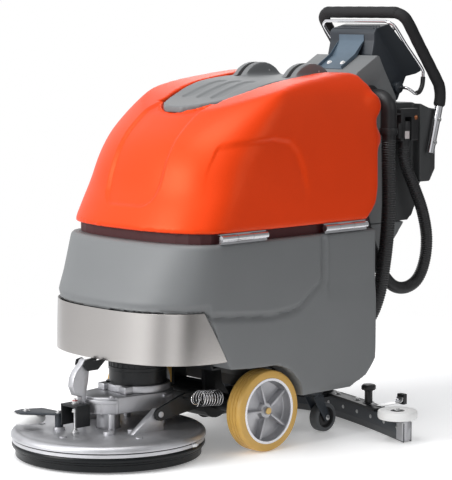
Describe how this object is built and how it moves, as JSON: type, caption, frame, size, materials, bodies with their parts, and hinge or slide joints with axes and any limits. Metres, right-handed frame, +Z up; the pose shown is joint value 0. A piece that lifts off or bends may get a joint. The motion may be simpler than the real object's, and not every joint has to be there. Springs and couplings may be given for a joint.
{
  "type": "floor scrubber",
  "caption": "Walk-behind floor scrubber-dryer with a round brush deck, tipping recovery tank, drive wheels, casters, towed squeegee and a looped handle.",
  "frame": {"origin": "on the floor under the middle of the machine's footprint, halfway from the deck's front edge to the rear cover", "axes": "+Z up, -Y the way the machine drives, and +X the side with the tank's hinges and the hoses"},
  "size_m": [0.876, 1.288, 1.0753],
  "materials": {
    "orange_plastic": "satin, fine moulded grain",
    "grey_plastic": "satin moulded grain",
    "slate_plastic": "satin",
    "black_plastic": "satin",
    "black_foam": "matt foam sleeve",
    "black_rubber": "satin",
    "grey_rubber": "matt",
    "amber_rubber": "satin polyurethane",
    "white_plastic": "gloss",
    "black_paint": "satin powder coat",
    "slate_paint": "satin paint",
    "stainless": "brushed",
    "chrome": "polished",
    "cast_aluminium": "as cast, lightly polished",
    "spring_steel": "bright wire",
    "bristle": "matt filament",
    "battery_case": "satin"
  },
  "bodies": {
    "chassis": {"solution_tank": "grey_plastic", "chassis_frame": "black_paint", "front_skirt": "stainless", "battery_left": "battery_case", "battery_right": "battery_case", "tank_seal": "black_rubber", "hinge_base_front": "chrome", "hinge_base_rear": "chrome", "rear_column": "grey_plastic", "rear_shell": "grey_plastic", "vacuum_motor": "black_plastic", "column_port": "black_plastic", "hose_holder": "black_plastic", "drain_cap": "black_plastic", "console": "slate_plastic", "console_bracket": "slate_paint", "handle_tube": "chrome", "handle_grip": "black_foam", "transaxle": "black_paint", "front_guide": "black_paint", "suction_hose": "black_plastic", "drain_hose": "black_plastic"},
    "recovery_tank": {"recovery_tank": "orange_plastic", "hinge_flap_front": "chrome", "hinge_flap_rear": "chrome"},
    "lid": {"lid": "grey_plastic"},
    "bail": {"bail": "chrome"},
    "key_switch": {"key_switch": "black_plastic"},
    "water_knob": {"water_knob": "black_plastic"},
    "brush_button": {"brush_button": "black_plastic"},
    "vacuum_button": {"vacuum_button": "black_plastic"},
    "wheel_left": {"wheel_hub_left": "cast_aluminium", "tyre_left": "amber_rubber"},
    "caster_left": {"caster_fork_left": "black_paint"},
    "caster_roll_left": {"caster_wheel_left": "grey_rubber"},
    "wheel_right": {"wheel_hub_right": "cast_aluminium", "tyre_right": "amber_rubber"},
    "caster_right": {"caster_fork_right": "black_paint"},
    "caster_roll_right": {"caster_wheel_right": "grey_rubber"},
    "lift_arms": {"lift_arms": "black_paint", "tension_spring": "spring_steel"},
    "deck": {"deck_cover": "cast_aluminium", "deck_skirt": "black_rubber", "gearbox": "cast_aluminium", "brush_motor": "black_paint", "front_link": "cast_aluminium", "adjuster_rod": "spring_steel", "roller_plate": "black_paint"},
    "brush": {"brush_plate": "battery_case", "brush_bristles": "bristle"},
    "deck_roller": {"deck_roller": "white_plastic"},
    "squeegee_arm": {"squeegee_arm": "black_paint"},
    "squeegee": {"squeegee_bar": "black_paint", "squeegee_blade_front": "grey_rubber", "squeegee_blade_rear": "grey_rubber", "squeegee_port": "black_plastic"},
    "squeegee_knob_left": {"squeegee_knob_left": "black_plastic"},
    "squeegee_roller_left": {"squeegee_roller_left": "white_plastic"},
    "squeegee_knob_right": {"squeegee_knob_right": "black_plastic"},
    "squeegee_roller_right": {"squeegee_roller_right": "white_plastic"}
  },
  "joints": [
    {"name": "wheel_left_spin", "type": "hinge", "parent": "chassis", "child": "wheel_left", "pos_m": [0.226, -0.109, 0.1], "axis": [1, 0, 0], "continuous": true},
    {"name": "caster_left_swivel", "type": "hinge", "parent": "chassis", "child": "caster_left", "pos_m": [0.17, 0.123, 0.1077], "axis": [0, 0, 1], "continuous": true},
    {"name": "caster_left_spin", "type": "hinge", "parent": "caster_left", "child": "caster_roll_left", "pos_m": [0.17, 0.159, 0.0375], "axis": [1, 0, 0], "continuous": true},
    {"name": "wheel_right_spin", "type": "hinge", "parent": "chassis", "child": "wheel_right", "pos_m": [-0.226, -0.109, 0.1], "axis": [1, 0, 0], "continuous": true},
    {"name": "caster_right_swivel", "type": "hinge", "parent": "chassis", "child": "caster_right", "pos_m": [-0.17, 0.123, 0.1077], "axis": [0, 0, 1], "continuous": true},
    {"name": "caster_right_spin", "type": "hinge", "parent": "caster_right", "child": "caster_roll_right", "pos_m": [-0.17, 0.159, 0.0375], "axis": [1, 0, 0], "continuous": true},
    {"name": "deck_lift", "type": "hinge", "parent": "chassis", "child": "lift_arms", "pos_m": [0, -0.169, 0.128], "axis": [-1, 0, 0], "range_deg": [0, 16.5]},
    {"name": "deck_level", "type": "hinge", "parent": "lift_arms", "child": "deck", "pos_m": [0, -0.348, 0.106], "axis": [-1, 0, 0], "range_deg": [-16.5, 0]},
    {"name": "brush_spin", "type": "hinge", "parent": "deck", "child": "brush", "pos_m": [0, -0.408, 0.03], "axis": [0, 0, 1], "continuous": true},
    {"name": "deck_roller_spin", "type": "hinge", "parent": "deck", "child": "deck_roller", "pos_m": [-0.125, -0.561, 0.092], "axis": [0, 0, 1], "continuous": true},
    {"name": "squeegee_lift", "type": "hinge", "parent": "chassis", "child": "squeegee_arm", "pos_m": [0, 0.061, 0.098], "axis": [1, 0, 0], "range_deg": [0, 15], "deforming": ["suction_hose"]},
    {"name": "squeegee_swing", "type": "hinge", "parent": "squeegee_arm", "child": "squeegee", "pos_m": [0, 0.286, 0.06], "axis": [0, 0, 1], "range_deg": [-12, 12]},
    {"name": "squeegee_knob_left_turn", "type": "hinge", "parent": "squeegee", "child": "squeegee_knob_left", "pos_m": [0.199, 0.299, 0.0583], "axis": [0, 0, 1], "continuous": true},
    {"name": "squeegee_roller_left_spin", "type": "hinge", "parent": "squeegee", "child": "squeegee_roller_left", "pos_m": [0.388, 0.202, 0.07], "axis": [0, 0, 1], "continuous": true},
    {"name": "squeegee_knob_right_turn", "type": "hinge", "parent": "squeegee", "child": "squeegee_knob_right", "pos_m": [-0.199, 0.299, 0.0583], "axis": [0, 0, 1], "continuous": true},
    {"name": "squeegee_roller_right_spin", "type": "hinge", "parent": "squeegee", "child": "squeegee_roller_right", "pos_m": [-0.388, 0.202, 0.07], "axis": [0, 0, 1], "continuous": true},
    {"name": "recovery_tip", "type": "hinge", "parent": "chassis", "child": "recovery_tank", "pos_m": [0.26, -0.109, 0.534], "axis": [0, 1, 0], "range_deg": [0, 85]},
    {"name": "lid_open", "type": "hinge", "parent": "recovery_tank", "child": "lid", "pos_m": [0, 0.199, 0.912], "axis": [-1, 0, 0], "range_deg": [0, 80]},
    {"name": "bail_squeeze", "type": "hinge", "parent": "chassis", "child": "bail", "pos_m": [0, 0.519, 0.862], "axis": [-1, 0, 0], "range_deg": [0, 4], "stiffness_Nm_per_rad": 6},
    {"name": "key_turn", "type": "hinge", "parent": "chassis", "child": "key_switch", "pos_m": [0.05, 0.52944, 0.99988], "axis": [0, 0.6693, 0.743], "range_deg": [0, 90]},
    {"name": "water_turn", "type": "hinge", "parent": "chassis", "child": "water_knob", "pos_m": [-0.048, 0.53315, 0.99654], "axis": [0, 0.6693, 0.743], "range_deg": [0, 270]},
    {"name": "brush_press", "type": "slide", "parent": "chassis", "child": "brush_button", "axis": [0, -0.6693, -0.743], "range_m": [0, 0.0015], "stiffness_N_per_m": 800},
    {"name": "vacuum_press", "type": "slide", "parent": "chassis", "child": "vacuum_button", "axis": [0, -0.6693, -0.743], "range_m": [0, 0.0015], "stiffness_N_per_m": 800}
  ],
  "couplings": [
    {"joint": "deck_level", "follows": "deck_lift", "ratio": -1}
  ]
}
